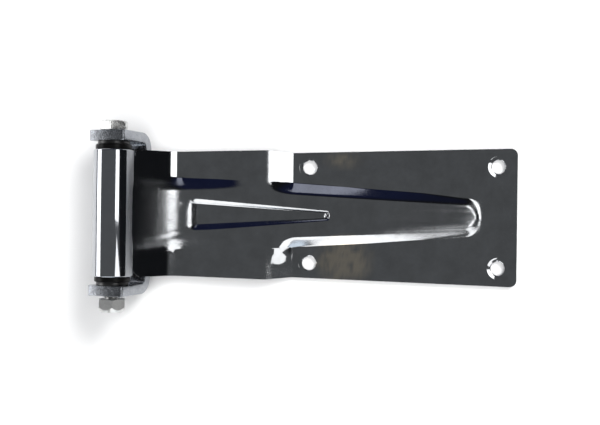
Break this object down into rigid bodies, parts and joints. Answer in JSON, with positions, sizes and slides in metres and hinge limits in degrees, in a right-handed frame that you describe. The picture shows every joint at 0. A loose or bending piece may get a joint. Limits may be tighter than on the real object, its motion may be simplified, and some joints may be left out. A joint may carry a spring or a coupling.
{
  "type": "rear door hinge",
  "caption": "Heavy door hinge: tapered, ribbed steel blade with a raised end welded to a barrel tube, bushed on a bolt between the ears of a U-shaped weld-on bracket.",
  "frame": {"origin": "midway between the two outer bolt holes, on the back face of the blade", "axes": "+X along the blade to its free end, +Y along the pin towards the bolt's head, +Z away from the door"},
  "size_m": [0.3323, 0.1452, 0.0493],
  "materials": {
    "plated_sheet": "bright zinc plating over pressed steel sheet",
    "plated_tube": "bright zinc plating over steel tube",
    "weld_metal": "rippled weld bead under bright zinc plating",
    "bush_plastic": "black moulded bearing plastic",
    "washer_steel": "dull zinc",
    "bar_steel": "satin zinc plating over flat bar",
    "bolt_zinc": "pale zinc plating, mottled"
  },
  "bodies": {
    "blade": {"hinge_blade": "plated_sheet", "barrel_tube": "plated_tube", "barrel_weld": "weld_metal", "bush_upper": "bush_plastic", "bush_lower": "bush_plastic"},
    "bracket": {"hinge_bracket": "bar_steel", "pin_bolt": "bolt_zinc", "lock_nut": "bolt_zinc", "washer_upper": "washer_steel", "washer_lower": "washer_steel"}
  },
  "joints": [
    {"name": "hinge_pin", "type": "hinge", "parent": "blade", "child": "bracket", "pos_m": [-0.3, 0, 0.0343], "axis": [0, 1, 0], "range_deg": [0, 270]}
  ]
}
